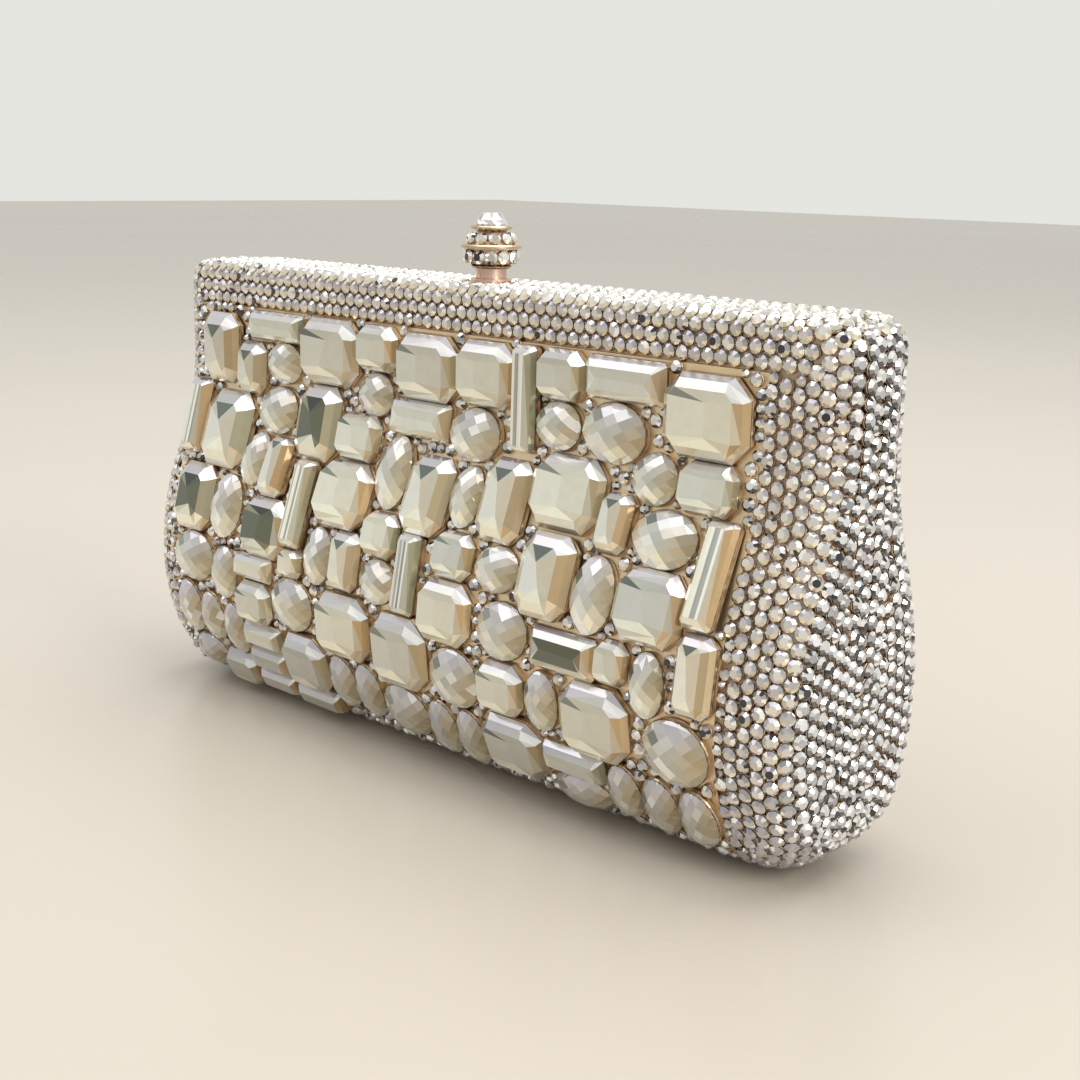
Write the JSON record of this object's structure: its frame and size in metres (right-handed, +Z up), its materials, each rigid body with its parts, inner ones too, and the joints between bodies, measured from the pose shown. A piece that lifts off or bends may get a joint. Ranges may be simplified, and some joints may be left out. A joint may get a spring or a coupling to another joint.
{
  "type": "evening bag",
  "caption": "Hard-shell evening clutch set with crystals: two half shells hinged at the base, a mosaic of large cut stones on the front and a jewelled push knob on top.",
  "frame": {"origin": "under the middle of the whole closed bag, on the surface it stands on", "axes": "+Z up, +X along the length to the wearer's left of the front, the front with the large stones faces -Y"},
  "size_m": [0.21, 0.0533, 0.1271],
  "materials": {
    "crystal_skin": "foil-backed small crystals",
    "pressed_metal": "plain pressed sheet",
    "gilt_metal": "antique rose gilt, satin",
    "satin_lining": "champagne satin",
    "hinge_steel": "pale gilt steel",
    "copper_metal": "rose copper, polished",
    "spring_steel": "bright wire",
    "setting_bed": "pale gilt setting",
    "champagne_crystal": "foil-backed cut crystal",
    "clear_crystal": "clear foil-backed crystal"
  },
  "bodies": {
    "rear_half": {"rear_shell": "pressed_metal", "rear_pave": "crystal_skin", "rear_rim": "gilt_metal", "rear_lining": "satin_lining", "inner_pocket": "satin_lining", "rear_hinge_leaf": "hinge_steel", "rear_leaf_rivets": "hinge_steel", "hinge_pin": "spring_steel", "knob_collar": "copper_metal", "latch_guide": "gilt_metal", "guide_screws": "hinge_steel", "chain_eyes": "gilt_metal", "return_spring": "spring_steel"},
    "front_half": {"front_shell": "pressed_metal", "front_pave": "crystal_skin", "front_rim": "gilt_metal", "front_lining": "satin_lining", "front_hinge_leaf": "hinge_steel", "front_leaf_rivets": "hinge_steel", "stone_bed": "setting_bed", "cushion_stones": "champagne_crystal", "emerald_stones": "champagne_crystal", "baguette_stones": "champagne_crystal", "round_stones": "champagne_crystal", "oval_stones": "champagne_crystal", "filler_crystals": "clear_crystal", "catch_hook": "gilt_metal", "hook_rivets": "hinge_steel"},
    "knob": {"knob_stem": "copper_metal", "knob_core": "copper_metal", "knob_foot_ring": "gilt_metal", "knob_lower_crystals": "clear_crystal", "knob_wide_ring": "gilt_metal", "knob_upper_crystals": "clear_crystal", "knob_top_ring": "gilt_metal", "knob_crown_stone": "clear_crystal", "latch_foot": "gilt_metal"}
  },
  "joints": [
    {"name": "shell_open", "type": "hinge", "parent": "rear_half", "child": "front_half", "pos_m": [0, 0.0016, 0.0018], "axis": [1, 0, 0], "range_deg": [0, 75]},
    {"name": "knob_press", "type": "slide", "parent": "rear_half", "child": "knob", "axis": [0, 0, -1], "range_m": [0, 0.0018], "stiffness_N_per_m": 800, "deforming": ["return_spring"]}
  ]
}
